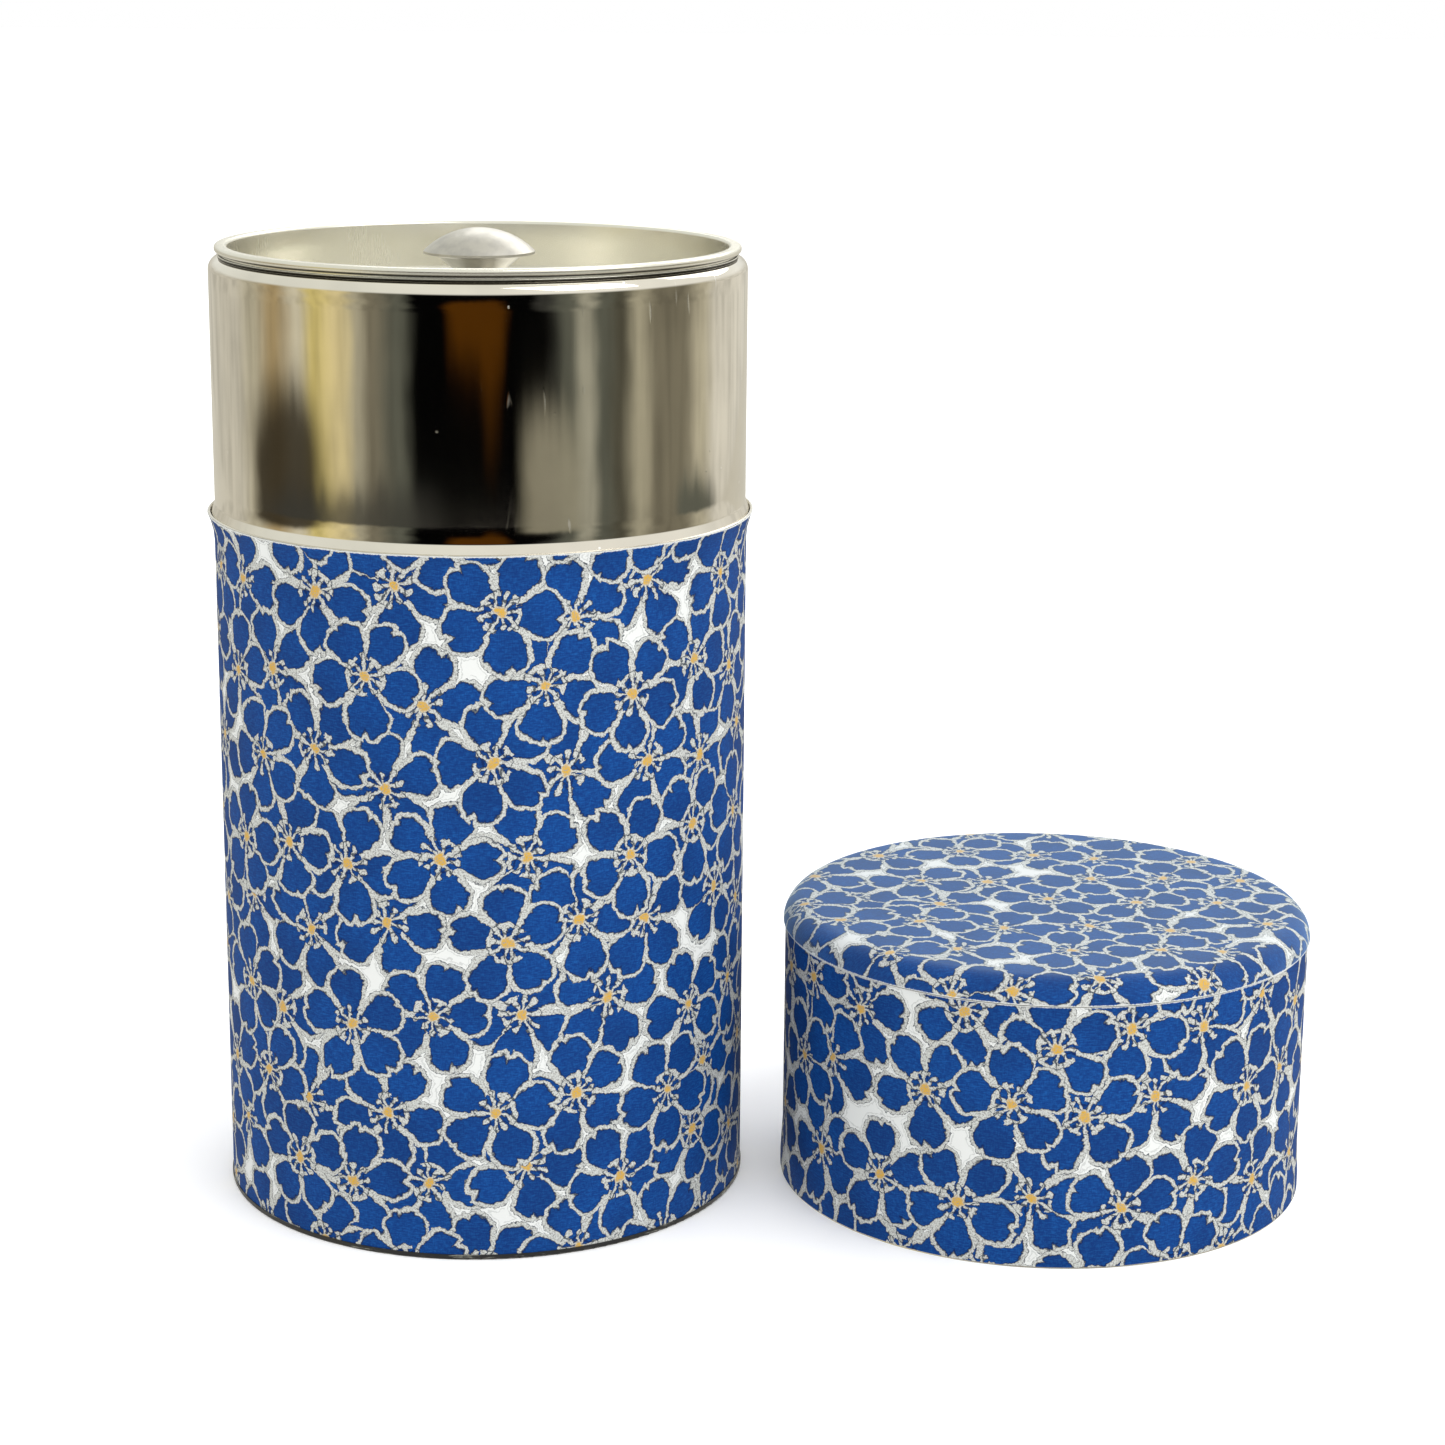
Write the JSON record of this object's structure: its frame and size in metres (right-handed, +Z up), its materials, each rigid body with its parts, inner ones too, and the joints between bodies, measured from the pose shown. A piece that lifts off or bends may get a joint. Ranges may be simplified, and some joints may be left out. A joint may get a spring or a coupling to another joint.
{
  "type": "paper-covered tea and spice tin",
  "caption": "Round tinplate caddy covered in blossom-patterned paper, with a bright collar, a push-in inner lid with a knob and a pull-off cap standing beside it.",
  "frame": {"origin": "centre of the tin's base, on the surface that it stands on", "axes": "+Z up along the tin's axis, +X towards the cap standing beside it"},
  "size_m": [0.1688, 0.0825, 0.1468],
  "materials": {
    "tinplate": "plain tinplate, satin, with a fine vertical rolling grain",
    "bright_tinplate": "bright tinplate, mirror-like with fine vertical grain, specks and light scratches",
    "satin_tinplate": "pressed tinplate, satin",
    "turned_aluminium": "turned aluminium, finely textured",
    "printed_paper": "matte printed paper: overlapping blue blossoms with mica-silver outlines and gold centres on cream"
  },
  "bodies": {
    "tin": {"body_can": "tinplate", "base_plate": "tinplate", "collar_sleeve": "bright_tinplate", "body_paper": "printed_paper"},
    "inner_lid": {"inner_lid_dish": "satin_tinplate", "knob": "turned_aluminium", "knob_rivet": "turned_aluminium"},
    "cap": {"cap_ring": "tinplate", "cap_top_plate": "tinplate", "cap_side_paper": "printed_paper", "cap_top_paper": "printed_paper"}
  },
  "joints": [
    {"name": "inner_lid_lift", "type": "slide", "parent": "tin", "child": "inner_lid", "axis": [0, 0, 1], "range_m": [0, 0.06]},
    {"name": "cap_lift", "type": "slide", "parent": "tin", "child": "cap", "axis": [0, 0, 1], "range_m": [0, 0.16]}
  ]
}
